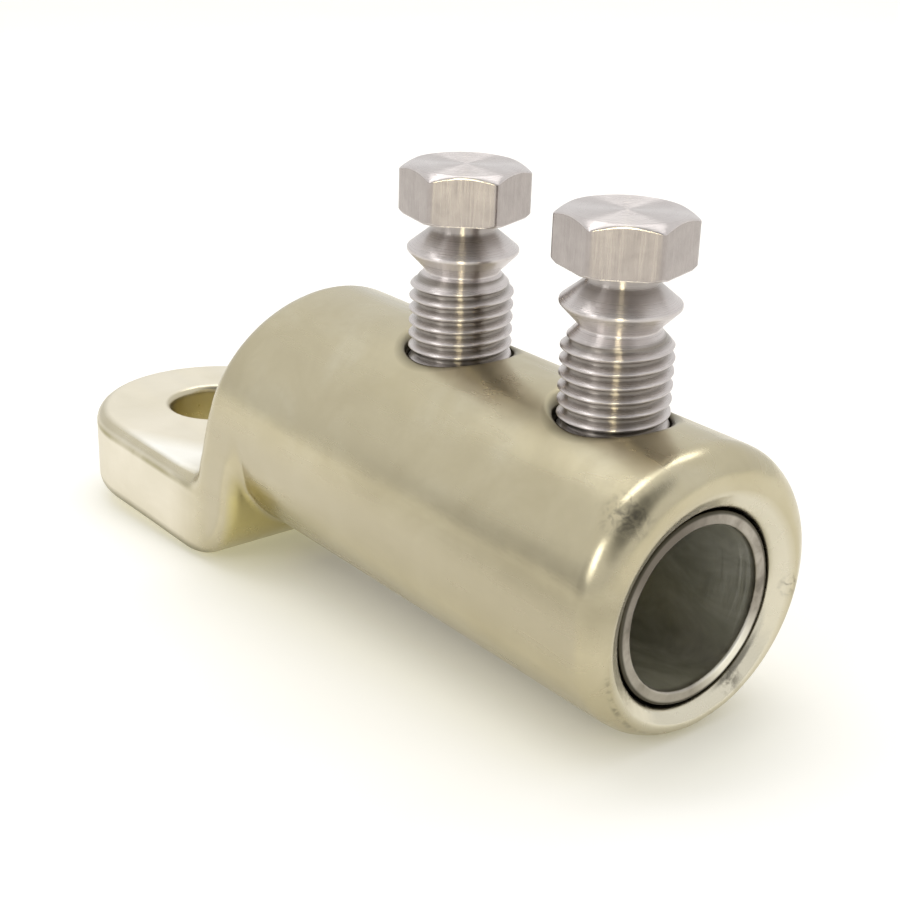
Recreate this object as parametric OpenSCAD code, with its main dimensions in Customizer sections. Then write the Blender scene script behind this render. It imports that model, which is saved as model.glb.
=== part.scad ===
// Cable lug with two shear bolts: a forged body with a blind barrel and a cranked palm,
// a loose insert sleeve in the barrel and two turned bolts that clamp the conductor.
// Origin: axis of the palm's stud hole, on the palm's underside. +X runs to the barrel's mouth.

/* [Barrel] */
// Outside diameter of the barrel
barrel_d = 32.5; // [31.5:0.5:36]
// Height of the barrel's axis above the palm's underside
barrel_axis_h = 20.5; // [19:0.5:23]
// Distance from the stud hole to the barrel's mouth
mouth_x = 97; // [95:1:104]
// Radius of the rounded lip round the mouth
lip_r = 3.6; // [1:0.2:4]
// Distance from the stud hole to the barrel's rear face, at the height of the barrel's axis
rear_x = 23.7; // [21:0.1:25]
// Lean of the rear face, in degrees from upright
rear_lean = 13.8; // [8:0.2:16]
// Radius of the edge round the rear face
rear_edge_r = 2.6; // [1:0.2:3.4]

/* [Bore] */
// Diameter of the barrel's blind bore
bore_d = 22.2; // [20:0.2:23]
// Drop of the bore's axis below the barrel's axis, which leaves a thick wall for the threads
bore_drop = 1.7; // [1:0.1:2.2]
// Depth of the bore from the mouth to the start of its drilled point
bore_depth = 57; // [52:1:59]
// Included angle of the bore's drilled point, in degrees
bore_point = 118; // [110:2:150]
// Diameter of the small flat in the middle of the drilled point
bore_point_flat = 3; // [1:0.5:6]
// Depth of the conical flare at the bore's mouth
mouth_flare_l = 1.7; // [0.5:0.1:2]
// Radial width of that flare
mouth_flare_w = 2.6; // [0.5:0.1:3.2]

/* [Insert sleeve] */
// Wall thickness of the sleeve
sleeve_wall = 1.55; // [1:0.05:2.2]
// Radial gap between the sleeve and the bore
sleeve_gap = 0.28; // [0.1:0.02:0.4]
// Distance of the sleeve's rim behind the mouth
sleeve_recess = 1.8; // [0.5:0.1:4]
// Radial gap round each bolt where it passes the sleeve
sleeve_hole_gap = 0.5; // [0.3:0.1:0.8]

/* [Palm] */
// Width of the palm
palm_w = 34.2; // [33:0.1:38]
// Thickness of the palm
palm_t = 11.8; // [9:0.2:13]
// Radius along the long edges of the palm and the web
palm_edge_r = 2.1; // [0.8:0.1:3]
// Distance from the stud hole to the front of the heel, below the barrel
heel_front_x = 30.9; // [29:0.1:33]
// Radius of the heel, the outside of the bend from the palm up to the barrel
heel_r = 12; // [11:0.5:14]
// Height of the middle of the web's round, which leads the heel into the barrel
web_z = 13.5; // [12.5:0.1:15]
// Stand-out of the web beyond the palm's sides and the heel's front
web_proud = 0.15; // [0.1:0.05:0.3]
// Set-back of the web's rear face from the barrel's rear face
web_back = 0.15; // [0.1:0.05:0.5]
// Radius of the fillet between the palm's top and the rear face
corner_r = 2.5; // [1.5:0.1:4]
// Diameter of the stud hole
stud_hole_d = 13; // [10:0.5:17]
// Width of the chamfer round the top of the stud hole
stud_hole_chamfer = 0.7; // [0.2:0.1:1.2]

/* [Shear bolts] */
// Distance of the front bolt behind the mouth
front_bolt_x = 15.8; // [13:0.2:18]
// Spacing of the two bolts along the barrel
bolt_spacing = 25.7; // [22:0.1:27]
// Stand-back of the front bolt's tip from the sleeve's bore
front_tip_back = 0.6; // [0.2:0.05:1.5]
// Stand-back of the rear bolt's tip from the sleeve's bore
rear_tip_back = 0.25; // [0.2:0.05:1.5]
// Turn of the front bolt's head about its axis, in degrees
front_turn = 46; // [0:1:60]
// Turn of the rear bolt's head about its axis, in degrees
rear_turn = 49; // [0:1:60]
// Nominal diameter of the bolts' thread
thread_d = 12; // [10:0.5:12.5]
// Pitch of the thread
thread_pitch = 1.5; // [1.25:0.05:1.75]
// Number of thread crests from the tip to the lower groove
thread_crests = 10; // [8:1:12]
// Length of the chamfered tip below the first crest
tip_l = 1.75; // [1:0.05:2.5]
// Radial clearance between the thread crests and the barrel's bolt holes
thread_gap = 0.15; // [0.1:0.05:0.3]
// Width of the countersink round each bolt hole, at the barrel's crown
sink_w = 1.3; // [0.6:0.1:1.6]
// Diameter of the lower shear groove, between thread and flange
groove_d = 8.6; // [7:0.1:9]
// Width of the flat floor of the lower groove
groove_floor = 0.2; // [0.1:0.05:0.5]
// Slope of the flanks of the lower groove, in degrees from level
groove_flank = 46; // [35:1:55]
// Diameter of the flange between the two grooves
flange_d = 12.8; // [11.5:0.1:13]
// Thickness of the flange's rim
flange_rim = 0.35; // [0.2:0.05:0.8]
// Slope of the flange's upper face, in degrees from level
flange_slope = 39; // [30:1:50]
// Diameter of the upper shear neck, under the head
neck_d = 7.4; // [6:0.1:8]
// Length of the upper shear neck
neck_l = 1.6; // [1:0.1:3]
// Width across the flats of the hexagon head
hex_af = 13; // [11:0.5:15]
// Height of the hexagon head
hex_h = 5.7; // [4:0.1:7]
// Slope of the chamfer round the top and the foot of the head, in degrees from level
hex_chamfer = 30; // [15:1:35]
// Width of that chamfer at the corners, on the top
hex_chamfer_w = 1.35; // [0.9:0.05:2]
// Width of that chamfer at the corners, on the foot
hex_foot_w = 0.5; // [0.2:0.05:1]

/* [Hidden] */
$fn = 96;
// Overlap of a cut beyond the face it starts from
over = 1;

barrel_r = barrel_d / 2;
crown_z = barrel_axis_h + barrel_r;
bore_r = bore_d / 2;
bore_z = barrel_axis_h - bore_drop;
point_l = (bore_d - bore_point_flat) / 2 / tan(bore_point / 2);

sleeve_r = bore_r - sleeve_gap;
socket_r = sleeve_r - sleeve_wall;
sleeve_l = bore_depth - sleeve_recess;
socket_top_z = bore_z + socket_r;

// Heel and web: the heel's centre stands over the end of the palm's straight part,
// and the web's faces, which lean, are placed where they pass the heel's top
heel_x = heel_front_x - heel_r;
web_front_x = heel_front_x + web_proud;
web_rear_x = rear_x - (barrel_axis_h - heel_r) * tan(rear_lean) + web_back;
web_t = web_front_x - web_rear_x;
web_mid_x = web_rear_x + web_t / 2;
web_w = palm_w + 2 * web_proud;
web_foot_z = palm_t - palm_edge_r - web_proud;
lean_shear = [[1, 0, tan(rear_lean), 0], [0, 1, 0, 0], [0, 0, 1, 0], [0, 0, 0, 1]];

// Fillet behind the web: its curve dips a little into both faces, so that it crosses them
fillet_dip = 0.05;
fillet_z = palm_t + corner_r - fillet_dip;
fillet_reach = (corner_r - fillet_dip) / cos(rear_lean);
fillet_x = web_rear_x + (fillet_z - heel_r) * tan(rear_lean) - fillet_reach;
fillet_top_z = fillet_z - corner_r * sin(rear_lean);

// Plane across the barrel in front of its leaning, rounded rear end
rear_joint_x = rear_x + barrel_r * tan(rear_lean) + rear_edge_r + over;

front_x = mouth_x - front_bolt_x;
back_bolt_x = front_x - bolt_spacing;
bolt_hole_r = thread_d / 2 + thread_gap;

// Depth of an outside metric thread, over its pitch
thread_depth_ratio = 0.613;
// Step from the thread's root in to the edge of the tip, over the pitch
tip_step_ratio = 0.3;

// Radii on a bolt, and heights from its tip
crest_r = thread_d / 2;
root_r = crest_r - thread_depth_ratio * thread_pitch;
tip_r = root_r - tip_step_ratio * thread_pitch;
thread_top = tip_l + (thread_crests - 1) * thread_pitch;
groove_z = thread_top + (crest_r - groove_d / 2) * tan(groove_flank);
flange_z = groove_z + groove_floor + (flange_d - groove_d) / 2 * tan(groove_flank);
neck_z = flange_z + flange_rim + (flange_d - neck_d) / 2 * tan(flange_slope);
head_z = neck_z + neck_l;
hex_corner_r = hex_af / sqrt(3);

BODY_COLOUR = [0.79, 0.76, 0.65];
SLEEVE_COLOUR = [0.78, 0.77, 0.74];
BOLT_COLOUR = [0.68, 0.65, 0.63];

// Places children with their +Z running into the barrel from the mouth, at a given height
module into_barrel(z) {
    translate([mouth_x, 0, z]) rotate([0, -90, 0]) children();
}

// Half section of a round bar with a rounded end at depth 0
module rounded_end(r, edge, l) {
    translate([0, edge]) square([r, l - edge]);
    square([r - edge, edge]);
    translate([r - edge, edge]) circle(edge);
}

// Cross-section of a strip: width along X, thickness along Y, long edges rounded
module strip_section(w, t) {
    e = palm_edge_r;
    square([w - 2 * e, t], center = true);
    square([w, t - 2 * e], center = true);
    for (x = [-1, 1], y = [-1, 1])
        translate([x * (w / 2 - e), y * (t / 2 - e)]) circle(e);
}

// The part of the palm's section on its +Y side, cut a little beyond the middle
module palm_side() {
    intersection() {
        strip_section(palm_w, palm_t);
        translate([-palm_w, -over]) square([2 * palm_w, palm_t]);
    }
}

// Half of a strip's section, to be turned about its middle
module half_section(w, t) {
    intersection() {
        strip_section(w, t);
        translate([0, -t]) square([w, 2 * t]);
    }
}

// Palm with its round end; its upper side runs on into the web
module palm() {
    translate([0, 0, palm_t / 2]) {
        rotate(90) rotate_extrude(angle = 180) half_section(palm_w, palm_t);
        rotate([90, 0, 90]) linear_extrude(heel_x) strip_section(palm_w, palm_t);
        rotate([90, 0, 90]) linear_extrude(heel_x + heel_r / 2) palm_side();
    }
}

// Heel: the palm's lower side, swept up to the web
module heel() {
    translate([heel_x, 0, heel_r]) rotate([90, 90, 0]) rotate_extrude(angle = 90)
        translate([heel_r - palm_t / 2, 0]) rotate(-90) palm_side();
}

// Web: a round slab with rounded edges that stands in the palm and leans into the barrel
module web() {
    rise = web_z - heel_r;
    translate([web_mid_x, 0, heel_r]) multmatrix(lean_shear) intersection() {
        translate([0, 0, rise]) rotate([0, 90, 0]) rotate_extrude() half_section(web_w, web_t);
        translate([-web_t, -web_w, web_foot_z - heel_r]) cube([2 * web_t, 2 * web_w, 2 * web_w]);
    }
}

// Fillet along the corner between the palm's top and the rear face, mitred at its ends
module corner_fillet() {
    y = palm_w / 2 - palm_edge_r - fillet_dip;
    difference() {
        translate([0, 0, palm_t - over]) linear_extrude(fillet_top_z - palm_t + over) polygon([
            [fillet_x, corner_r - y],
            [fillet_x + corner_r, -y],
            [web_mid_x, -y],
            [web_mid_x, y],
            [fillet_x + corner_r, y],
            [fillet_x, y - corner_r]
        ]);
        translate([fillet_x, -palm_w, fillet_z]) rotate([-90, 0, 0]) cylinder(r = corner_r, h = 2 * palm_w);
    }
}

// Space in front of the plane where the barrel's two ends meet
module front_space() {
    reach = 2 * mouth_x;
    translate([rear_joint_x, -reach / 2, barrel_axis_h - reach / 2]) cube(reach);
}

// Front of the barrel, with its rounded lip
module barrel_front() {
    intersection() {
        into_barrel(barrel_axis_h) rotate_extrude() rounded_end(barrel_r, lip_r, mouth_x);
        front_space();
    }
}

// Rear of the barrel: a rounded end sheared to the rear face's lean
module barrel_rear() {
    difference() {
        translate([rear_x, 0, barrel_axis_h]) multmatrix(lean_shear) rotate([0, 90, 0])
            rotate_extrude() rounded_end(barrel_r, rear_edge_r, mouth_x - rear_x);
        front_space();
    }
}

// Blind bore with its drilled point and the flare at its mouth
module bore_cut() {
    into_barrel(bore_z) {
        translate([0, 0, -over]) cylinder(r = bore_r, h = bore_depth + over);
        translate([0, 0, bore_depth]) cylinder(r1 = bore_r, r2 = bore_point_flat / 2, h = point_l);
        cylinder(r1 = bore_r + mouth_flare_w, r2 = bore_r, h = mouth_flare_l);
    }
}

// Bolt hole through the barrel's thick top wall, countersunk at the crown
module bolt_hole_cut(x) {
    translate([x, 0, bore_z]) cylinder(r = bolt_hole_r, h = crown_z - bore_z + over);
    translate([x, 0, crown_z - sink_w]) cylinder(r1 = bolt_hole_r, r2 = bolt_hole_r + sink_w, h = sink_w);
}

// Stud hole through the palm, chamfered on top
module stud_hole_cut() {
    r = stud_hole_d / 2;
    translate([0, 0, -over]) cylinder(r = r, h = palm_t + 2 * over);
    translate([0, 0, palm_t - stud_hole_chamfer])
        cylinder(r1 = r, r2 = r + stud_hole_chamfer, h = stud_hole_chamfer);
}

module lug_body() {
    color(BODY_COLOUR) difference() {
        union() {
            barrel_front();
            barrel_rear();
            palm();
            heel();
            web();
            corner_fillet();
        }
        bore_cut();
        bolt_hole_cut(front_x);
        bolt_hole_cut(back_bolt_x);
        stud_hole_cut();
    }
}

module insert_sleeve() {
    hole_r = crest_r + sleeve_hole_gap;
    color(SLEEVE_COLOUR) difference() {
        into_barrel(bore_z) translate([0, 0, sleeve_recess]) difference() {
            cylinder(r = sleeve_r, h = sleeve_l);
            translate([0, 0, -over]) cylinder(r = socket_r, h = sleeve_l + 2 * over);
        }
        for (x = [front_x, back_bolt_x])
            translate([x, 0, bore_z]) cylinder(r = hole_r, h = bore_r + over);
    }
}

// Hexagon head, chamfered at the corners on its top and its foot
module hex_head() {
    rise = hex_chamfer_w * tan(hex_chamfer);
    foot = hex_foot_w * tan(hex_chamfer);
    intersection() {
        cylinder(r = hex_corner_r, h = hex_h, $fn = 6);
        rotate_extrude() polygon([
            [0, 0],
            [hex_corner_r - hex_foot_w, 0],
            [hex_corner_r, foot],
            [hex_corner_r, hex_h - rise],
            [hex_corner_r - hex_chamfer_w, hex_h],
            [0, hex_h]
        ]);
    }
}

// Turned outline of a bolt from its tip to the foot of its head
function thread_outline() = [
    for (i = [0:thread_crests - 1]) each [
        [crest_r, tip_l + i * thread_pitch],
        if (i < thread_crests - 1) [root_r, tip_l + (i + 0.5) * thread_pitch]
    ]
];
function stem_outline() = concat(
    [[0, 0], [tip_r, 0]],
    thread_outline(),
    [
        [groove_d / 2, groove_z],
        [groove_d / 2, groove_z + groove_floor],
        [flange_d / 2, flange_z],
        [flange_d / 2, flange_z + flange_rim],
        [neck_d / 2, neck_z],
        [neck_d / 2, head_z],
        [0, head_z]
    ]
);

// A bolt with its tip a given distance back from the sleeve's bore
module shear_bolt(x, tip_back, turn) {
    color(BOLT_COLOUR) translate([x, 0, socket_top_z + tip_back]) {
        rotate_extrude() polygon(stem_outline());
        translate([0, 0, head_z]) rotate(turn) hex_head();
    }
}

module front_shear_bolt() {
    shear_bolt(front_x, front_tip_back, front_turn);
}

module rear_shear_bolt() {
    shear_bolt(back_bolt_x, rear_tip_back, rear_turn);
}

lug_body();
insert_sleeve();
front_shear_bolt();
rear_shear_bolt();
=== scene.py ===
import math
import bpy
import bmesh
import numpy as np
from mathutils import Matrix, Vector


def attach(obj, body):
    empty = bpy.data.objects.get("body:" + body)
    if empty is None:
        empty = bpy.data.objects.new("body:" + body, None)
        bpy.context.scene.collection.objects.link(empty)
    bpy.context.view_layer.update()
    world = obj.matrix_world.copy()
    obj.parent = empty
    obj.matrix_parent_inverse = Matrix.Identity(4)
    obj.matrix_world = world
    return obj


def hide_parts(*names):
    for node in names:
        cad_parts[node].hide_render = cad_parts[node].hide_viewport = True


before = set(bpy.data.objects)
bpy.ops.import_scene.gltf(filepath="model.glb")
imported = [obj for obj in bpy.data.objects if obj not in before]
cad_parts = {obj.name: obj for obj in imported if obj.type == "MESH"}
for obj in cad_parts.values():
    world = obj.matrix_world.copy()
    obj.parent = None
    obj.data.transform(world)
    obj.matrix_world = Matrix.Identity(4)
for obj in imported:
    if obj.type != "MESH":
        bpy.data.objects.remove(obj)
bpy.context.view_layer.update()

MM = 0.001

# Sizes of the lug, in millimetres, as in the part's source
BARREL_R, AXIS_Z, MOUTH_X, LIP_R = 16.25, 20.5, 97.0, 3.6
REAR_X, LEAN, REAR_EDGE = 23.7, math.radians(13.8), 2.6
BORE_R, BORE_Z, BORE_END, FLARE_L, FLARE_W = 11.1, 18.8, 40.0, 1.7, 2.6
PALM_W, PALM_T, EDGE = 34.2, 11.8, 2.1
HEEL_X, HEEL_R, FRONT_X, WEB_Z = 18.9, 12.0, 30.9, 13.5
STUD_R, HOLE_R, CROWN_Z, SINK = 6.5, 6.15, 36.75, 1.3
FRONT_BOLT_X, REAR_BOLT_X = 81.2, 55.5
SLEEVE_R, SOCKET_R, SLEEVE_END = 10.82, 9.27, 95.2
DRILL = math.radians(59)  # half the angle of the bore's drilled point

# Forms that only the skins have; a pair says where something starts and where it is whole
ROOT_X, ROOT_EDGE = 10, 0.5             # the barrel runs back into the palm as far as this
JOINT_R = 0.9                           # fillet between barrel and tongue
FILLET, FILLET_LOSS = 2.5, 1.3          # palm to rear face, and what is lost at the sides
FILLET_FADE = (9, 16)                   # by the distance from the middle
WEB_EDGE, WEB_LOW = 3.2, 12             # edge radius along the web, and the web's lower end
WEB_FADE, REAR_FADE = (17, 21), (16, 21)  # edge radii: palm to web by x, web to rear by z
LIP_FADE, LIP_RING = (91.5, 93.5), (12, 13.5)  # the lip by x and by radius
DENT, SWELL = 0.02, 0.010               # waves of the lip and of the whole forging
BORE_EDGE, FLARE_EDGE, SINK_EDGE = 0.3, 0.5, 0.4
STUD_EDGE, STUD_MORE, STUD_FADE = 0.5, 0.5, (4, 8)
FLARE_FROM, SINK_DEEP, CLEAR = 88, 6, -9  # reach of two cuts, and their value beyond it
SLEEVE_HOLE_R, TUBE_EDGE, TUBE_END_EDGE, TUBE_HOLE_EDGE, TUBE_SWELL = 6.5, 0.25, 0.3, 0.2, 0.01


# Fields: signed distances, in millimetres, of the forms that are built below

def round_and(a, b, r):
    """Overlap of two fields, its convex edge rounded to radius r."""
    u, v = a + r, b + r
    return np.minimum(np.maximum(u, v), 0) + np.hypot(np.maximum(u, 0), np.maximum(v, 0)) - r


def round_or(a, b, r):
    """Union of two fields, its hollow corner filled to radius r."""
    return -round_and(-a, -b, r)


def fade(v, a, b):
    """0 up to a, 1 from b on."""
    return np.clip((v - a) / (b - a), 0, 1)


def waves(p, length, seed, count=8):
    """A smooth random field of about that wavelength, from -1 to 1."""
    rng = np.random.RandomState(seed)
    k = rng.normal(size=(count, 3))
    k *= (2 * math.pi / length * rng.uniform(0.7, 1.4, count)
          / np.linalg.norm(k, axis=1))[:, None]
    return np.sin(p @ k.T + rng.uniform(0, 2 * math.pi, count)).sum(1) / math.sqrt(count)


def lug_field(p):
    x, y, z = p.T
    lean_x = REAR_X + (z - AXIS_Z) * math.tan(LEAN)
    cos_l = math.cos(LEAN)
    # Barrel with its lip
    radius = np.hypot(y, z - AXIS_Z)
    barrel = round_and(round_and(radius - BARREL_R, x - MOUTH_X, LIP_R), ROOT_X - x, ROOT_EDGE)
    # Palm, heel and web from the outside: bottom, heel round and leaning front
    heel = np.hypot(x - HEEL_X, z - HEEL_R) - HEEL_R
    front = (x - FRONT_X - (z - HEEL_R) * math.tan(LEAN)) * cos_l
    outer = np.where(z > HEEL_R, front, np.where(x > HEEL_X, heel, -z))
    flat_w = np.where(x < 0, np.hypot(x, y), np.abs(y)) - PALM_W / 2
    web_w = np.hypot(y, np.maximum(z - WEB_Z, 0)) - PALM_W / 2
    tongue = round_and(outer, np.where(x < 0, flat_w, web_w), EDGE)
    body = round_or(barrel, tongue, JOINT_R)
    # Palm's top and the rear face, with the fillet between them
    fillet = FILLET - FILLET_LOSS * fade(np.abs(y), *FILLET_FADE)
    inner = round_or(z - PALM_T, (lean_x - x) * cos_l, fillet)
    edge = np.where(z > WEB_LOW, WEB_EDGE, EDGE + (WEB_EDGE - EDGE) * fade(x, *WEB_FADE))
    edge = edge + (REAR_EDGE - edge) * fade(z, *REAR_FADE)
    body = round_and(body, inner, edge)
    # Dents and hammered skin on the lip
    lip = fade(x, *LIP_FADE) * fade(radius, *LIP_RING)
    body = body + lip * DENT * waves(p, 6, 3) + SWELL * waves(p, 14, 5)
    # Bore with its drilled point and its flare
    around = np.hypot(y, z - BORE_Z)
    point = (around - BORE_R + (BORE_END - x) * math.tan(DRILL)) * math.cos(DRILL)
    body = round_and(body, -np.maximum(around - BORE_R, point), BORE_EDGE)
    flare = (around - BORE_R) * FLARE_L - (x - MOUTH_X + FLARE_L) * FLARE_W
    flare = np.where(x > FLARE_FROM, -flare / math.hypot(FLARE_L, FLARE_W), CLEAR)
    body = round_and(body, flare, FLARE_EDGE)
    # Countersunk bolt holes and the stud hole
    for at in (FRONT_BOLT_X, REAR_BOLT_X):
        r = np.hypot(x - at, y)
        body = round_and(body, -np.maximum(r - HOLE_R, BORE_Z - z), BORE_EDGE)
        sink = (r - HOLE_R - (z - CROWN_Z + SINK)) * math.sqrt(0.5)
        body = round_and(body, np.where(z > CROWN_Z - SINK_DEEP, -sink, CLEAR), SINK_EDGE)
    edge = STUD_EDGE + STUD_MORE * fade(z, *STUD_FADE)
    return round_and(body, STUD_R - np.hypot(x, y), edge)


def sleeve_field(p):
    x, y, z = p.T
    around = np.hypot(y, z - BORE_Z)
    tube = round_and(around - SLEEVE_R, SOCKET_R - around, TUBE_EDGE)
    middle, half = (SLEEVE_END + BORE_END) / 2, (SLEEVE_END - BORE_END) / 2
    tube = round_and(tube, np.abs(x - middle) - half, TUBE_END_EDGE)
    for at in (FRONT_BOLT_X, REAR_BOLT_X):
        hole = np.maximum(np.hypot(x - at, y) - SLEEVE_HOLE_R, BORE_Z - z)
        tube = round_and(tube, -hole, TUBE_HOLE_EDGE)
    return tube + TUBE_SWELL * waves(p, 5, 9)


def normals(field, p, h=0.01):
    n = np.stack([field(p + step) - field(p - step) for step in h * np.eye(3)], 1)
    return n / np.linalg.norm(n, axis=1)[:, None]


def settle(field, p, rounds, h=0.01, longest=0.3):
    """Moves points along the field's gradient on to its surface."""
    for _ in range(rounds):
        f = field(p)
        g = np.stack([field(p + step) - f for step in h * np.eye(3)], 1) / h
        step = (f / np.maximum((g * g).sum(1), 0.05))[:, None] * g
        length = np.linalg.norm(step, axis=1)[:, None]
        p = p - step * np.minimum(1, longest / np.maximum(length, 1e-9))
    return p


def points(mesh):
    co = np.empty(len(mesh.vertices) * 3, np.float32)
    mesh.vertices.foreach_get("co", co)
    return co.reshape(-1, 3).astype(float)


def pairs(mesh):
    ends = np.empty(len(mesh.edges) * 2, np.int32)
    mesh.edges.foreach_get("vertices", ends)
    return ends.reshape(-1, 2).T


def relax(mesh, field, p, rounds):
    """Evens the points out while they stay on the field's surface."""
    a, b = pairs(mesh)
    n = len(p)
    count = (np.bincount(a, minlength=n) + np.bincount(b, minlength=n))[:, None]
    for _ in range(rounds):
        mean = [np.bincount(a, p[b, i], n) + np.bincount(b, p[a, i], n) for i in range(3)]
        p = settle(field, p + 0.5 * (np.stack(mean, 1) / count - p), 1)
    return p


def refine(mesh, field, p, angle):
    """Splits the faces across which the surface turns by more than an angle, in degrees."""
    mesh.vertices.foreach_set("co", p.astype(np.float32).ravel())
    n = normals(field, p)
    a, b = pairs(mesh)
    turned = (n[a] * n[b]).sum(1) < math.cos(math.radians(angle))
    bm = bmesh.new()
    bm.from_mesh(mesh)
    for edge, turns in zip(bm.edges, turned):
        if turns:
            for face in edge.link_faces:
                face.tag = True
    edges = [e for e in bm.edges if any(f.tag for f in e.link_faces)]
    bmesh.ops.subdivide_edges(bm, edges=edges, cuts=1, use_grid_fill=True)
    bm.to_mesh(mesh)
    bm.free()
    return settle(field, points(mesh), 2)


def linked(name, data):
    obj = bpy.data.objects.new(name, data)
    bpy.context.scene.collection.objects.link(obj)
    return obj


def field_piece(name, node, field, cell):
    """A fine skin on a field's surface, started from the CAD node's own mesh."""
    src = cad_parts[node].data.copy()
    src.transform(Matrix.Scale(1 / MM, 4))
    bm = bmesh.new()
    bm.from_mesh(src)
    bmesh.ops.remove_doubles(bm, verts=bm.verts, dist=1e-4)
    bm.to_mesh(src)
    bm.free()
    tmp = linked("tmp", src)
    mod = tmp.modifiers.new("skin", "REMESH")
    mod.mode, mod.voxel_size, mod.adaptivity = "VOXEL", cell, 0.0
    made = tmp.evaluated_get(bpy.context.evaluated_depsgraph_get())
    mesh = bpy.data.meshes.new_from_object(made)
    bpy.data.objects.remove(tmp)
    bpy.data.meshes.remove(src)
    # On to the surface, then finer where it turns
    p = relax(mesh, field, settle(field, points(mesh), 5), 8)
    for angle in (14, 20):
        p = relax(mesh, field, refine(mesh, field, p, angle), 3)
    p = settle(field, p, 3)
    mesh.vertices.foreach_set("co", (p * MM).astype(np.float32).ravel())
    mesh.polygons.foreach_set("use_smooth", np.ones(len(mesh.polygons), bool))
    mesh.update()
    kept = mesh.attributes.new("custom_normal", "FLOAT_VECTOR", "POINT")
    kept.data.foreach_set("vector", normals(field, p).astype(np.float32).ravel())
    mesh.materials.clear()
    mesh.name = name
    return linked(name, mesh)


# Bolts: one turned grid each, with a true helical thread and a hexagon head

SEG = 192
TIP_L, PITCH, CREST_R, ROOT_R, TIP_R = 1.75, 1.5, 6.0, 5.08, 4.63
CREST_SHARE, FLANK_SHARE, ROW = 0.11, 0.66, 0.11  # of a pitch's half; grid rows in mm
GROOVE_R, GROOVE_Z, GROOVE_FLOOR, RUN_OUT = 4.3, 17.01, 0.2, math.radians(46)
FLANGE_R, FLANGE_Z, FLANGE_RIM = 6.4, 19.385, 0.35
NECK_R, NECK_Z, HEAD_Z = 3.7, 21.92, 23.52
HEX_H, HEX_HALF, CORNER_POWER = 5.7, 6.5, 70
TOP_R, FOOT_R, SLOPE = 6.156, 7.006, math.tan(math.radians(30))


def rounded_line(corners, radii, steps=5):
    """A polyline with its corners rounded."""
    out = [np.array(corners[0], float)]
    for a, b, c, r in zip(corners, corners[1:], corners[2:], radii):
        a, b, c = (np.array(q, float) for q in (a, b, c))
        u, v = a - b, c - b
        reach = min(r, 0.45 * np.linalg.norm(u), 0.45 * np.linalg.norm(v))
        s, e = b + u / np.linalg.norm(u) * reach, b + v / np.linalg.norm(v) * reach
        for t in np.linspace(0, 1, steps):
            out.append((1 - t) ** 2 * s + 2 * t * (1 - t) * b + t * t * e)
    out.append(np.array(corners[-1], float))
    return out


def bolt_rows(tip_z, turn, crest_z, ang):
    """The grid's rows from the tip up: radius, height, whether on a flat, how deep in a hollow,
    which darkens it: oxide and painted shade in the thread's roots, painted shade under the head.
    """
    rows = []

    def add(r, z, flat=False, hollow=0.0):
        r, z, hollow = (np.broadcast_to(v, SEG) for v in (r, z, hollow))
        rows.append((r, z, flat, hollow))

    for r in (1.5, 3.0, 4.3, TIP_R):
        add(r, 0.0)
    # Thread, with the tip's chamfer and the groove's lower flank
    for z in np.arange(0.06, GROOVE_Z - 0.3, ROW):
        s = ((z + tip_z - crest_z) / PITCH - ang / (2 * math.pi)) % 1.0
        t = np.clip((np.abs(s - 0.5) * -2 + 1 - CREST_SHARE) / FLANK_SHARE, 0, 1)
        t = t * t * (3 - 2 * t) * 0.35 + t * 0.65
        r = CREST_R - (CREST_R - ROOT_R) * t
        tip = TIP_R + z * (CREST_R - TIP_R) / TIP_L
        top = GROOVE_R + (GROOVE_Z - z) / math.tan(RUN_OUT)
        add(np.minimum(np.minimum(r, tip), top), z, False, fade(t, 0.3, 1.0))
    # Groove, flange and neck
    stem = rounded_line(
        [(GROOVE_R + 0.27, GROOVE_Z - 0.28), (GROOVE_R, GROOVE_Z),
         (GROOVE_R, GROOVE_Z + GROOVE_FLOOR), (FLANGE_R, FLANGE_Z),
         (FLANGE_R, FLANGE_Z + FLANGE_RIM), (NECK_R, NECK_Z), (NECK_R, HEAD_Z),
         (FOOT_R - 0.9, HEAD_Z)],
        [0.1, 0.1, 0.13, 0.13, 0.35, 0.15])
    for a, b in zip(stem, stem[1:]):
        for t in np.linspace(0, 1, max(2, int(np.linalg.norm(b - a) / 0.35) + 1))[:-1]:
            r, z = (1 - t) * a + t * b
            # Painted shade on the flange's upper cone, the neck and the head's underside, under
            # the head
            add(r, z, False, 0.55 * fade(z, NECK_Z - 1.6, NECK_Z - 0.2))
    # Hexagon: radius by angle, its corners a little rounded
    sides = [np.abs(np.cos(ang - math.radians(turn + 30 + 60 * k))) for k in range(3)]
    hexr = HEX_HALF / sum(side ** CORNER_POWER for side in sides) ** (1 / CORNER_POWER)
    low = HEAD_Z + np.maximum(0, hexr - FOOT_R) * SLOPE
    up = HEAD_Z + HEX_H - (hexr - TOP_R) * SLOPE
    add(np.minimum(hexr, FOOT_R) - 0.12, HEAD_Z)
    add(np.minimum(hexr, FOOT_R) - 0.03, HEAD_Z + 0.01)
    add(hexr - 0.03, low + 0.04)
    for t in (0.0, 0.02, 0.2, 0.4, 0.6, 0.8, 0.98, 1.0):
        add(hexr, low + 0.12 + (up - low - 0.22) * t, True)
    add(hexr - 0.035, up - 0.02)
    for t in (0.1, 0.5, 0.9):
        add(hexr + (TOP_R - hexr) * t, up + (HEAD_Z + HEX_H - up) * t)
    for r in (TOP_R - 0.05, TOP_R - 0.14, 5.2, 4.2, 3.2, 2.2, 1.2, 0.5):
        add(r, HEAD_Z + HEX_H - (0.01 if r > 6.1 else 0.0))
    return rows


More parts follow.
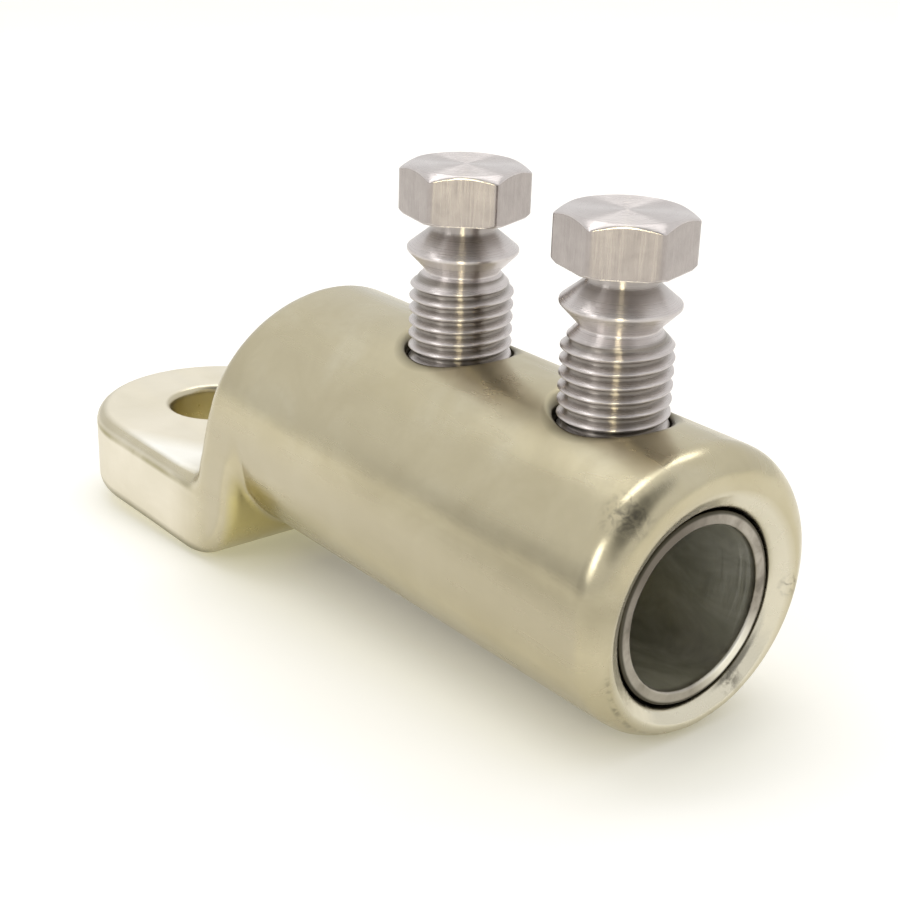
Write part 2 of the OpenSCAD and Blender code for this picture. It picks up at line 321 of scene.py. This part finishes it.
def bolt_piece(name, x, tip_z, turn, crest_z):
    ang = math.radians(turn) + np.linspace(0, 2 * math.pi, SEG, endpoint=False)
    rows = bolt_rows(tip_z, turn, crest_z, ang)
    c, s = np.cos(ang), np.sin(ang)
    verts = np.concatenate([np.stack([x + r * c, r * s, tip_z + z], 1) for r, z, _, _ in rows])
    verts = np.concatenate([verts, [[x, 0, tip_z], [x, 0, tip_z + HEAD_Z + HEX_H]]])
    i = np.arange(SEG)
    j = (i + 1) % SEG
    faces, mats = [], []
    for k in range(len(rows) - 1):
        a, b = k * SEG, (k + 1) * SEG
        faces += np.stack([a + i, a + j, b + j, b + i], 1).tolist()
        mats += [1 if rows[k][2] and rows[k + 1][2] else 0] * SEG
    # Fans that close the tip and the head's top
    end = len(rows) * SEG
    faces += [[end, int(b), int(a)] for a, b in zip(i, j)]
    faces += [[end + 1, int(end - SEG + a), int(end - SEG + b)] for a, b in zip(i, j)]
    mats += [0] * (2 * SEG)
    mesh = bpy.data.meshes.new(name)
    mesh.from_pydata((verts * MM).tolist(), [], faces)
    mesh.polygons.foreach_set("use_smooth", np.ones(len(faces), bool))
    mesh.polygons.foreach_set("material_index", np.array(mats, np.int32))
    hollows = np.append(np.concatenate([row[3] for row in rows]), [0, 0])
    for key, values in (("ring", np.hypot(verts[:, 0] - x, verts[:, 1])), ("hollow", hollows)):
        kept = mesh.attributes.new(key, "FLOAT", "POINT")
        kept.data.foreach_set("value", values.astype(np.float32))
    mesh.update()
    return linked(name, mesh)


# Materials

class Nodes:
    """Short hand for a material's node tree."""

    def __init__(self, name):
        self.mat = bpy.data.materials.new(name)
        self.mat.use_nodes = True
        self.tree = self.mat.node_tree
        self.shader = self.tree.nodes["Principled BSDF"]

    def put(self, socket, value):
        """Links a socket's value, or sets it."""
        if isinstance(value, bpy.types.NodeSocket):
            self.tree.links.new(value, socket)
        else:
            socket.default_value = value

    def new(self, kind, inputs=None, **props):
        node = self.tree.nodes.new("ShaderNode" + kind)
        for k, v in props.items():
            setattr(node, k, v)
        for k, v in (inputs or {}).items():
            self.put(node.inputs[k], v)
        return node

    def set(self, **inputs):
        for k, v in inputs.items():
            self.put(self.shader.inputs[k.replace("_", " ")], v)

    def place(self, scale=(1, 1, 1), rot=(0, 0, 0)):
        """Object coordinates in millimetres, stretched by scale."""
        co = self.new("TexCoord").outputs["Object"]
        scale = tuple(s / MM for s in scale)
        return self.new("Mapping", {"Vector": co, "Scale": scale, "Rotation": rot}).outputs[0]

    def split(self, vec):
        return self.new("SeparateXYZ", {"Vector": vec}).outputs[:3]

    def noise(self, vec, scale, detail=3.0, rough=0.5, distort=0.0):
        return self.new("TexNoise", {"Vector": vec, "Scale": scale, "Detail": detail,
                                     "Roughness": rough, "Distortion": distort}).outputs["Fac"]

    def ramp(self, fac, stops):
        node = self.new("ValToRGB", {"Fac": fac})
        el = node.color_ramp.elements
        while len(el) < len(stops):
            el.new(0.5)
        for e, (pos, col) in zip(el, stops):
            e.position = pos
            e.color = (*col, 1)
        return node.outputs["Color"]

    def remap(self, fac, a, b, c, d):
        return self.new("MapRange", {"Value": fac, "From Min": a, "From Max": b,
                                     "To Min": c, "To Max": d}).outputs[0]

    def mix(self, fac, a, b):
        node = self.new("Mix", data_type="RGBA")
        self.put(node.inputs[0], fac)
        for socket, v in ((node.inputs[6], a), (node.inputs[7], b)):
            self.put(socket, (*v, 1) if isinstance(v, tuple) else v)
        return node.outputs[2]

    def math(self, op, a, b=0.0, c=0.0):
        return self.new("Math", {0: a, 1: b, 2: c}, operation=op).outputs[0]

    def all(self, *masks):
        """The masks' product."""
        out = masks[0]
        for mask in masks[1:]:
            out = self.math("MULTIPLY", out, mask)
        return out

    def sum(self, *masks):
        out = masks[0]
        for mask in masks[1:]:
            out = self.math("ADD", out, mask)
        return out

    def apart(self, a, b):
        """How far a value is from another."""
        return self.math("ABSOLUTE", self.math("SUBTRACT", a, b))

    def radius(self, a, b):
        return self.math("SQRT", self.sum(self.all(a, a), self.all(b, b)))

    def near(self, vec, spot, a, b):
        """1 within a of a spot, 0 beyond b."""
        gap = self.new("VectorMath", {0: vec, 1: spot}, operation="DISTANCE").outputs["Value"]
        return self.remap(gap, a, b, 1.0, 0.0)

    def bump(self, height, strength, distance, after=None):
        ins = {"Height": height, "Strength": strength, "Distance": distance}
        if after is not None:
            ins["Normal"] = after
        return self.new("Bump", ins).outputs[0]


def plated():
    """The forging's plated skin. Places are in millimetres, strengths from 0 to 1."""
    m = Nodes("plated_body")
    at = m.place()
    x, y, z = m.split(at)
    face_x, face_y, face_z = m.split(m.new("NewGeometry").outputs["Normal"])
    side = m.math("ABSOLUTE", face_y)
    cloud = m.noise(at, 0.09, 4, 0.55, 0.6)
    fine = m.noise(at, 1.3, 2, 0.5)
    tint = m.ramp(cloud, [(0.3, (0.49, 0.435, 0.29)), (0.52, (0.53, 0.475, 0.325)),
                          (0.72, (0.57, 0.52, 0.375))])
    tint = m.mix(m.remap(fine, 0.45, 0.75, 0.0, 0.35), tint, (0.50, 0.445, 0.31))
    # The palm kept the pale, matt skin of the plating bath; the barrel is rubbed
    pale = m.remap(x, 16.0, 25.0, 1.0, 0.0)
    flat = m.math("MAXIMUM", side, m.math("ABSOLUTE", face_z))
    flat = m.all(pale, m.remap(flat, 0.82, 0.985, 0.2, 1.0))
    skin = m.ramp(cloud, [(0.3, (0.74, 0.69, 0.56)), (0.7, (0.82, 0.77, 0.65))])
    tint = m.mix(flat, tint, skin)
    # A painted dark reflection: a band along the barrel's near side, standing in for the dark
    # horizon it mirrors
    painted_dark_band = m.all(m.remap(m.apart(z, 23.0), 0.5, 4.5, 0.62, 0.0),
                  m.remap(x, 50.0, 74.0, 0.0, 1.0),
                  m.remap(y, -9.0, -13.0, 0.0, 1.0),
                  m.remap(cloud, 0.3, 0.6, 1.0, 0.7))
    tint = m.mix(painted_dark_band, tint, (0.27, 0.24, 0.165))
    # Palm: a painted highlight by the near upper edge, a painted dark reflection line along the
    # side under the top's rounding, painted contact shade along the bottom edge
    slant = m.math("SUBTRACT", m.math("MULTIPLY_ADD", x, 0.55, -17.85), y)
    # A painted highlight on the rounding by the near upper edge
    painted_highlight = m.all(pale, m.remap(slant, -1.5, 3.0, 0.0, 0.75),
                  m.remap(face_z, 0.80, 0.95, 0.0, 1.0))
    tint = m.mix(painted_highlight, tint, (0.95, 0.945, 0.90))
    # A painted dark reflection line along the palm's side, just under the top's rounding
    painted_dark_line = m.all(pale, m.remap(m.apart(z, 10.0), 0.12, 0.6, 0.9, 0.0),
                 m.remap(face_z, 0.5, 0.7, 1.0, 0.0), m.remap(cloud, 0.3, 0.6, 1.0, 0.5))
    tint = m.mix(painted_dark_line, tint, (0.33, 0.29, 0.14))
    # Painted contact shade along the bottom edge of the palm and heel, by the floor
    painted_contact_shade = m.all(m.remap(x, 24.0, 34.0, 1.0, 0.0), m.remap(z, 0.8, 2.3, 0.9, 0.0),
                 m.remap(face_z, -0.97, -0.8, 0.0, 1.0))
    tint = m.mix(painted_contact_shade, tint, (0.16, 0.14, 0.06))
    # Web: painted shade on its flat flanks, and a painted yellow reflection on the heel's front
    # face below the barrel
    painted_web_shade = m.all(m.remap(x, 23.0, 27.0, 0.0, 0.6), m.remap(z, 24.0, 20.0, 0.0, 1.0),
                m.remap(side, 0.93, 0.99, 0.0, 1.0))
    tint = m.mix(painted_web_shade, tint, (0.45, 0.405, 0.30))
    # A painted yellow reflection on the heel's front face, below the barrel
    heel = m.all(m.remap(x, 23.0, 27.0, 0.0, 0.7), m.remap(z, 16.0, 11.0, 0.0, 1.0),
                 m.remap(face_x, 0.55, 0.92, 0.0, 1.0), m.remap(x, 40.0, 36.0, 0.0, 1.0))
    tint = m.mix(heel, tint, (0.64, 0.56, 0.23))
    hole = m.all(m.remap(m.radius(x, y), STUD_R + 0.05, STUD_R + 0.3, 1.0, 0.0),
                 m.remap(z, 10.4, 11.0, 1.0, 0.0))
    tint = m.mix(hole, tint, (0.70, 0.635, 0.42))
    # Mouth: the cut flare is bright; a nick, smears and a crease on the lip
    around = m.radius(y, m.math("SUBTRACT", z, BORE_Z))
    cut = m.all(m.remap(around, BORE_R + 1.6, BORE_R + 2.6, 0.7, 0.0),
                m.remap(x, 94.6, 95.2, 0.0, 1.0))
    tint = m.mix(cut, tint, (0.74, 0.70, 0.58))
    crease = m.all(m.remap(m.apart(around, 13.9), 0.1, 0.35, 0.8, 0.0),
                   m.remap(z, 18.0, 13.0, 0.0, 1.0), m.remap(x, 95.5, 96.2, 0.0, 1.0))
    smear = m.sum(m.near(at, (96.6, 13.1, 18.3), 0.3, 1.6),
                  m.near(at, (95.7, 6.0, 8.7), 0.4, 1.9),
                  m.near(at, (94.8, -10.8, 32.2), 0.8, 3.2), crease)
    spots = m.remap(m.noise(at, 0.9, 3, 0.6, 0.8), 0.42, 0.62, 0.0, 0.75)
    tint = m.mix(m.all(smear, spots), tint, (0.16, 0.145, 0.11))
    # Painted shade round the bolts, over their countersinks
    middle, half = (FRONT_BOLT_X + REAR_BOLT_X) / 2, (FRONT_BOLT_X - REAR_BOLT_X) / 2
    gap = m.radius(m.apart(m.apart(x, middle), half), y)
    painted_sink_shade = m.all(m.remap(gap, 6.2, 7.7, 0.9, 0.0), m.remap(z, 30.0, 32.0, 0.0, 1.0))
    tint = m.mix(painted_sink_shade, tint, (0.10, 0.085, 0.05))
    # Gloss: rubbed along the barrel, duller on the palm's flats and by the bolts
    along = m.noise(m.place((0.12, 1, 1)), 0.35, 4, 0.6)
    dull = m.all(m.remap(gap, 7.0, 15.0, 0.08, 0.0), m.remap(z, 28.0, 33.0, 0.0, 1.0))
    rough = m.sum(m.remap(along, 0.3, 0.7, 0.19, 0.31), m.all(flat, 0.25), dull)
    scratch = m.noise(m.place((0.05, 1.6, 1.6), (0, 0.1, 0.12)), 1.4, 2, 0.5)
    n = m.bump(m.noise(at, 0.16, 1), 0.10, 0.0012)
    n = m.bump(fine, 0.05, 0.00012, n)
    n = m.bump(scratch, 0.03, 0.0001, n)
    m.set(Base_Color=tint, Metallic=1.0, Roughness=rough, Normal=n)
    return m.mat


def sleeve_metal():
    m = Nodes("sleeve_metal")
    at = m.place()
    x, y, height = m.split(at)
    z = m.math("SUBTRACT", height, BORE_Z)
    around = m.radius(y, z)
    inside = m.all(m.remap(around, SOCKET_R + 0.1, SOCKET_R + 0.35, 1.0, 0.0),
                   m.remap(x, SLEEVE_END - 1.0, SLEEVE_END - 0.3, 1.0, 0.0))
    cloud = m.noise(at, 0.35, 4, 0.6, 0.4)
    # Rim, with painted light and shade: lighter below, a painted shadow at its upper left, a
    # painted highlight at its lower right, painted shade in the gap outside it
    rim = m.ramp(cloud, [(0.32, (0.19, 0.17, 0.14)), (0.5, (0.32, 0.29, 0.245)),
                         (0.7, (0.45, 0.415, 0.355))])
    rim = m.mix(m.remap(z, -2.0, -9.0, 0.0, 0.35), rim, (0.50, 0.47, 0.41))
    # A painted shadow at the upper left and a painted highlight at the lower right
    for spot, a, b, tint in (
        ((SLEEVE_END, -5.5, BORE_Z + 7.5), 3.0, 9.0, (0.15, 0.13, 0.105)),
        ((SLEEVE_END, 6.4, BORE_Z - 7.8), 1.5, 6.0, (0.90, 0.87, 0.76)),
    ):
        rim = m.mix(m.near(at, spot, a, b), rim, tint)
    # Painted shade in the gap between the sleeve and the bore
    gap_shade = m.remap(around, SLEEVE_R - 0.50, SLEEVE_R - 0.28, 0.0, 0.9)
    rim = m.mix(gap_shade, rim, (0.05, 0.045, 0.03))
    # Wall: clouds and turning rings, and a dull patch on its right
    wall = m.ramp(m.noise(m.place((0.5, 1, 1)), 0.16, 3, 0.6, 1.2),
                  [(0.35, (0.66, 0.65, 0.53)), (0.65, (0.94, 0.92, 0.80))])
    rings = m.noise(m.place((6.0, 0.15, 0.15)), 1.0, 3, 0.6)
    dull = m.all(m.remap(y, 6.0, 9.0, 0.0, 1.0), m.remap(x, 80.0, 92.0, 0.0, 1.0),
                 m.remap(rings, 0.35, 0.6, 0.1, 0.4))
    metal = m.math("SUBTRACT", 1.0, m.all(inside, m.sum(dull, 0.1)))
    m.set(Base_Color=m.mix(inside, rim, wall), Metallic=metal,
          Roughness=m.remap(cloud, 0.3, 0.7, 0.28, 0.36), Normal=m.bump(rings, 0.15, 0.00008))
    return m.mat


def turned():
    """Metal with lathe lines, which draw the light out into streaks along the axis."""
    m = Nodes("turned_metal")
    at = m.place()
    ring = m.new("Attribute", attribute_name="ring").outputs["Fac"]
    hollow = m.new("Attribute", attribute_name="hollow").outputs["Fac"]
    lift = m.split(at)[2]
    line = m.new("CombineXYZ", {"X": m.all(ring, 5.0), "Y": m.all(lift, 5.0)}).outputs[0]
    lines = m.noise(line, 1.6, 3, 0.7)
    cloud = m.noise(at, 0.4, 3, 0.6, 0.3)
    tint = m.ramp(cloud, [(0.3, (0.56, 0.515, 0.50)), (0.7, (0.66, 0.615, 0.595))])
    tint = m.mix(m.remap(lines, 0.35, 0.65, 0.0, 0.5), tint, (0.72, 0.675, 0.655))
    # Darker in the thread roots, partly oxide and partly painted shade; painted shade on the neck
    # under the head
    tint = m.mix(m.all(hollow, 0.8), tint, (0.21, 0.185, 0.155))
    rough = m.remap(lines, 0.3, 0.7, 0.24, 0.36)
    n = m.bump(lines, 0.25, 0.00006)
    n = m.bump(cloud, 0.05, 0.0002, n)
    tangent = m.new("Tangent", direction_type="RADIAL", axis="Z").outputs[0]
    m.set(Base_Color=tint, Metallic=1.0, Roughness=rough, Normal=n,
          Anisotropic=1.0, Anisotropic_Rotation=0.25, Tangent=tangent)
    return m.mat


def drawn():
    """The hexagons' flats, with lines along the bar that they were cut from."""
    m = Nodes("drawn_flats")
    at = m.place()
    lines = m.noise(m.place((2.6, 2.6, 0.12)), 1.3, 4, 0.7)
    cloud = m.noise(at, 0.5, 3, 0.6, 0.3)
    tint = m.ramp(cloud, [(0.3, (0.33, 0.295, 0.28)), (0.7, (0.41, 0.37, 0.35))])
    tint = m.mix(m.remap(lines, 0.35, 0.7, 0.0, 0.5), tint, (0.47, 0.43, 0.41))
    m.set(Base_Color=tint, Metallic=1.0, Roughness=m.remap(lines, 0.3, 0.7, 0.22, 0.30),
          Normal=m.bump(lines, 0.2, 0.00008))
    return m.mat


def paper():
    m = Nodes("studio_floor")
    at = m.place()
    x, y, _ = m.split(at)
    tint = m.ramp(m.noise(at, 0.02, 2), [(0.3, (0.75, 0.75, 0.83)), (0.7, (0.77, 0.77, 0.85))])
    m.set(Base_Color=tint, Roughness=0.6)
    # The glow that keeps the open paper white is held back under the barrel, which paints a shadow
    # there
    painted_shadow = m.all(m.remap(m.math("ABSOLUTE", y), 16.0, 4.0, 0.0, 0.65),
                  m.remap(x, 20.0, 34.0, 0.0, 1.0), m.remap(x, 102.0, 88.0, 0.0, 1.0))
    path = m.new("LightPath").outputs
    rays = [path["Is %s Ray" % kind] for kind in ("Camera", "Glossy", "Transmission")]
    glow = m.all(m.sum(*rays), m.math("SUBTRACT", 1.0, painted_shadow), 0.33)
    # The glow is warm and the paper a little blue: the open floor adds up to white, and the shadow
    # keeps a painted yellow tint standing in for light bounced off the plated barrel
    glow = m.new("Emission", {"Color": (1, 0.95, 0.58, 1), "Strength": glow})
    both = m.new("AddShader", {0: m.shader.outputs[0], 1: glow.outputs[0]})
    m.put(m.tree.nodes["Material Output"].inputs["Surface"], both.outputs[0])
    return m.mat


# The object

BODY_CELL, TUBE_CELL = 0.65, 0.6  # the skins' first grid, in millimetres

body = field_piece("lug_skin", "lug_body", lug_field, BODY_CELL)
body.data.materials.append(plated())
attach(body, "lug")
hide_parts("lug_body")

tube = field_piece("sleeve_skin", "insert_sleeve", sleeve_field, TUBE_CELL)
tube.data.materials.append(sleeve_metal())
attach(tube, "lug")
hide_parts("insert_sleeve")

metals = (turned(), drawn())
bolts = []
# Height of the tip, turn of the hexagon in degrees, height of a crest at that turn
for name, node, ridden, x, tip, turn, crest in (
    ("front_bolt_turned", "front_shear_bolt", "front_bolt", FRONT_BOLT_X, 28.67, 46, 21.455),
    ("rear_bolt_turned", "rear_shear_bolt", "rear_bolt", REAR_BOLT_X, 28.32, 49, 21.785),
):
    bolt = bolt_piece(name, x, tip, turn, crest)
    for mat in metals:
        bolt.data.materials.append(mat)
    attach(bolt, ridden)
    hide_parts(node)
    bolts.append(bolt)


# Stage: the lug rests on its heel and on the lip of its mouth, so the floor is tilted to them

FLOOR_Z, FLOOR_TILT, FLOOR_HALF = -1.1014 * MM, math.radians(3.276), 10.0
corners = [(a * FLOOR_HALF, b * FLOOR_HALF, 0) for a, b in ((-1, -1), (1, -1), (1, 1), (-1, 1))]
floor_mesh = bpy.data.meshes.new("floor")
floor_mesh.from_pydata(corners, [], [(0, 1, 2, 3)])
floor_mesh.materials.append(paper())
floor = linked("floor", floor_mesh)
floor.location = (0, 0, FLOOR_Z)
floor.rotation_euler = (0, -FLOOR_TILT, 0)


def studio(levels, lobes):
    """A pale room, by height, with the dark behind the camera and beside it."""
    world = bpy.data.worlds.new("studio")
    bpy.context.scene.world = world
    world.use_nodes = True
    nodes, link = world.node_tree.nodes, world.node_tree.links.new
    sky = nodes["Background"]
    aim = nodes.new("ShaderNodeTexCoord").outputs["Generated"]
    height = nodes.new("ShaderNodeSeparateXYZ")
    ramp = nodes.new("ShaderNodeValToRGB")
    link(aim, height.inputs[0])
    link(height.outputs["Z"], ramp.inputs["Fac"])
    link(ramp.outputs["Color"], sky.inputs["Color"])
    stops = ramp.color_ramp.elements
    stops.new(levels[1][0])
    for stop, (at, level) in zip(stops, levels):
        stop.position, stop.color = at, (level, level, level, 1)
    shades = []
    for centre, near, far, dark in lobes:
        lobe = nodes.new("ShaderNodeVectorMath")
        lobe.operation = "DOT_PRODUCT"
        lobe.inputs[1].default_value = Vector(centre).normalized()
        shade = nodes.new("ShaderNodeMapRange")
        shade.interpolation_type = "SMOOTHSTEP"
        for k, v in (("From Min", far), ("From Max", near), ("To Min", 1.0), ("To Max", dark)):
            shade.inputs[k].default_value = v
        link(aim, lobe.inputs[0])
        link(lobe.outputs["Value"], shade.inputs["Value"])
        shades.append(shade.outputs[0])
    both = nodes.new("ShaderNodeMath")
    both.operation = "MULTIPLY"
    for shade, socket in zip(shades, both.inputs):
        link(shade, socket)
    link(both.outputs[0], sky.inputs["Strength"])


studio(((0.0, 0.84), (0.14, 0.90), (0.36, 0.96)),
       (((0.53, -0.37, 0.76), 0.95, 0.80, 0.3), ((-0.40, -0.915, 0.02), 0.965, 0.935, 0.62)))

LAMP_TARGET = Vector((0.055, 0, 0.02))


def softbox(name, direction, distance, size, watts, colour=(1, 1, 1)):
    data = bpy.data.lights.new(name, "AREA")
    data.shape, data.energy, data.color = "RECTANGLE", watts, colour
    data.size, data.size_y = size
    lamp = linked(name, data)
    d = Vector(direction).normalized()
    lamp.location = LAMP_TARGET + d * distance
    lamp.rotation_mode = "QUATERNION"
    lamp.rotation_quaternion = d.to_track_quat("Z", "Y")
    lamp.visible_camera = False
    return lamp


softbox("top_strip", (-0.30, 0.12, 0.93), 0.8, (0.95, 0.20), 1.9)
softbox("side_box", (-0.08, -0.90, 0.40), 0.8, (0.22, 0.32), 0.7)
# A flagged lamp that reaches the bolts alone, for the warm streak down their stems
WARM = (1.0, 0.92, 0.60)
front_box = softbox("front_box", (0.735, -0.674, 0.08), 0.6, (0.05, 0.20), 1.0, WARM)
flagged = bpy.data.collections.new("flagged")
for bolt in bolts:
    flagged.objects.link(bolt)
front_box.light_linking.receiver_collection = flagged

# Camera, as fitted to the photograph
CAM_RIGHT = Vector((0.62241464, 0.78211104, 0.03003904))
CAM_UP = Vector((-0.31533436, 0.21545105, 0.9241997))
CAM_BACK = Vector((0.71635485, -0.58470776, 0.38072637))
CAM_SPOT = Vector((0.19576, -0.11543, 0.0978))
cam_data = bpy.data.cameras.new("camera")
cam_data.sensor_width, cam_data.lens = 36, 65.88
cam_data.clip_start, cam_data.clip_end = 0.01, 20
cam = linked("camera", cam_data)
turn_rows = zip(CAM_RIGHT, CAM_UP, CAM_BACK)
cam.matrix_world = Matrix([(*r, t) for r, t in zip(turn_rows, CAM_SPOT)] + [(0, 0, 0, 1)])
bpy.context.scene.camera = cam
bpy.context.scene.view_settings.view_transform = "Standard"
